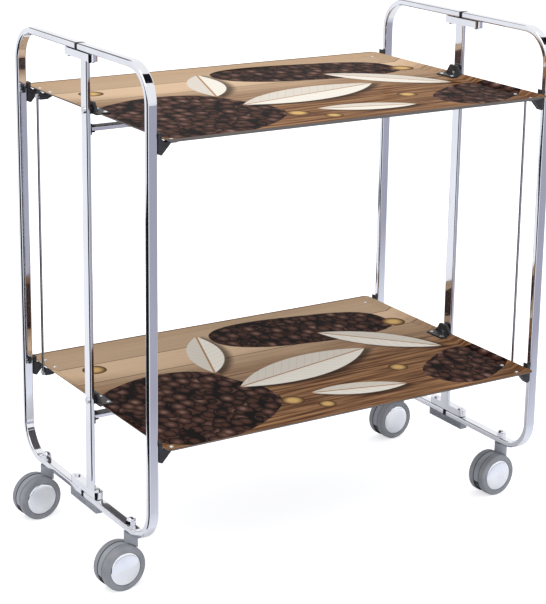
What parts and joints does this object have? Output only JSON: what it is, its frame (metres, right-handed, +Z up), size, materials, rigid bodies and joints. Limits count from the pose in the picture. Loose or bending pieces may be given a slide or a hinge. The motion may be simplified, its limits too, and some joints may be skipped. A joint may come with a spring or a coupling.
{
  "type": "folding kitchen cart",
  "caption": "Two-tier folding serving cart with chromed end frames, linked tilting trays and twin-wheel casters.",
  "frame": {"origin": "on the floor below the middle of the cart's outline, casters included", "axes": "+X along the trays to the right, +Y to the rear, +Z up"},
  "size_m": [0.7014, 0.43, 0.72],
  "materials": {
    "chrome": "bright chrome plate on steel",
    "steel": "zinc-plated steel",
    "tray_laminate": "moulded laminate with a glossy printed face",
    "black_plastic": "moulded black nylon",
    "grey_plastic": "moulded grey nylon",
    "wheel_grey": "soft grey tread",
    "cap_silver": "silvered plastic hub cap"
  },
  "bodies": {
    "cart": {"left_post": "chrome", "right_post": "chrome", "upper_rail": "chrome", "lower_rail": "chrome", "rail_clips": "black_plastic", "left_top_hinge": "chrome", "right_top_hinge": "chrome", "left_bottom_hinge": "chrome", "right_bottom_hinge": "chrome", "hinge_pins": "steel", "left_under_plate": "grey_plastic", "right_under_plate": "grey_plastic", "tray_pivot_pins": "steel", "front_left_frame": "chrome", "rear_left_frame": "chrome", "front_right_frame": "chrome", "rear_right_frame": "chrome", "tube_plugs": "black_plastic", "caster_stems": "steel", "stem_nuts": "chrome"},
    "upper_shelf": {"upper_tray": "tray_laminate", "upper_rod_blocks": "black_plastic", "upper_rivets": "steel", "upper_left_pivot_bracket": "black_plastic", "upper_front_left_bracket": "black_plastic", "upper_rear_left_bracket": "black_plastic", "upper_right_pivot_bracket": "black_plastic", "upper_front_right_bracket": "black_plastic", "upper_rear_right_bracket": "black_plastic"},
    "lower_shelf": {"lower_tray": "tray_laminate", "lower_rod_blocks": "black_plastic", "lower_rivets": "steel", "lower_left_pivot_bracket": "black_plastic", "lower_front_left_bracket": "black_plastic", "lower_rear_left_bracket": "black_plastic", "lower_right_pivot_bracket": "black_plastic", "lower_front_right_bracket": "black_plastic", "lower_rear_right_bracket": "black_plastic"},
    "left_rod": {"left_tie_rod": "chrome"},
    "right_rod": {"right_tie_rod": "chrome"},
    "front_left_caster": {"front_left_caster_hood": "grey_plastic"},
    "front_left_wheels": {"front_left_axle": "steel", "front_left_outer_wheel": "wheel_grey", "front_left_inner_wheel": "wheel_grey", "front_left_hub_caps": "cap_silver"},
    "front_right_caster": {"front_right_caster_hood": "grey_plastic"},
    "front_right_wheels": {"front_right_axle": "steel", "front_right_outer_wheel": "wheel_grey", "front_right_inner_wheel": "wheel_grey", "front_right_hub_caps": "cap_silver"},
    "rear_left_caster": {"rear_left_caster_hood": "grey_plastic"},
    "rear_left_wheels": {"rear_left_axle": "steel", "rear_left_outer_wheel": "wheel_grey", "rear_left_inner_wheel": "wheel_grey", "rear_left_hub_caps": "cap_silver"},
    "rear_right_caster": {"rear_right_caster_hood": "grey_plastic"},
    "rear_right_wheels": {"rear_right_axle": "steel", "rear_right_outer_wheel": "wheel_grey", "rear_right_inner_wheel": "wheel_grey", "rear_right_hub_caps": "cap_silver"}
  },
  "joints": [
    {"name": "upper_shelf_tilt", "type": "hinge", "parent": "cart", "child": "upper_shelf", "pos_m": [0.01824, 0, 0.629], "axis": [1, 0, 0], "range_deg": [0, 36]},
    {"name": "lower_shelf_tilt", "type": "hinge", "parent": "cart", "child": "lower_shelf", "pos_m": [0.01824, 0, 0.219], "axis": [1, 0, 0], "range_deg": [0, 36]},
    {"name": "left_rod_swing", "type": "hinge", "parent": "upper_shelf", "child": "left_rod", "pos_m": [-0.29006, 0.161, 0.6192], "axis": [1, 0, 0], "range_deg": [-36, 0]},
    {"name": "right_rod_swing", "type": "hinge", "parent": "upper_shelf", "child": "right_rod", "pos_m": [0.32654, -0.161, 0.6192], "axis": [1, 0, 0], "range_deg": [-36, 0]},
    {"name": "front_left_swivel", "type": "hinge", "parent": "cart", "child": "front_left_caster", "pos_m": [-0.29946, -0.133, 0.07], "axis": [0, 0, 1], "continuous": true},
    {"name": "front_left_roll", "type": "hinge", "parent": "front_left_caster", "child": "front_left_wheels", "pos_m": [-0.3177, -0.13447, 0.032], "axis": [-0.0802, 0.9968, 0], "continuous": true},
    {"name": "front_right_swivel", "type": "hinge", "parent": "cart", "child": "front_right_caster", "pos_m": [0.33594, -0.133, 0.07], "axis": [0, 0, 1], "continuous": true},
    {"name": "front_right_roll", "type": "hinge", "parent": "front_right_caster", "child": "front_right_wheels", "pos_m": [0.3177, -0.13447, 0.032], "axis": [-0.0802, 0.9968, 0], "continuous": true},
    {"name": "rear_left_swivel", "type": "hinge", "parent": "cart", "child": "rear_left_caster", "pos_m": [-0.29946, 0.133, 0.07], "axis": [0, 0, 1], "continuous": true},
    {"name": "rear_left_roll", "type": "hinge", "parent": "rear_left_caster", "child": "rear_left_wheels", "pos_m": [-0.3177, 0.13153, 0.032], "axis": [-0.0802, 0.9968, 0], "continuous": true},
    {"name": "rear_right_swivel", "type": "hinge", "parent": "cart", "child": "rear_right_caster", "pos_m": [0.33594, 0.133, 0.07], "axis": [0, 0, 1], "continuous": true},
    {"name": "rear_right_roll", "type": "hinge", "parent": "rear_right_caster", "child": "rear_right_wheels", "pos_m": [0.3177, 0.13153, 0.032], "axis": [-0.0802, 0.9968, 0], "continuous": true}
  ],
  "couplings": [
    {"joint": "lower_shelf_tilt", "follows": "upper_shelf_tilt", "ratio": 1},
    {"joint": "left_rod_swing", "follows": "upper_shelf_tilt", "ratio": -1},
    {"joint": "right_rod_swing", "follows": "upper_shelf_tilt", "ratio": -1}
  ]
}
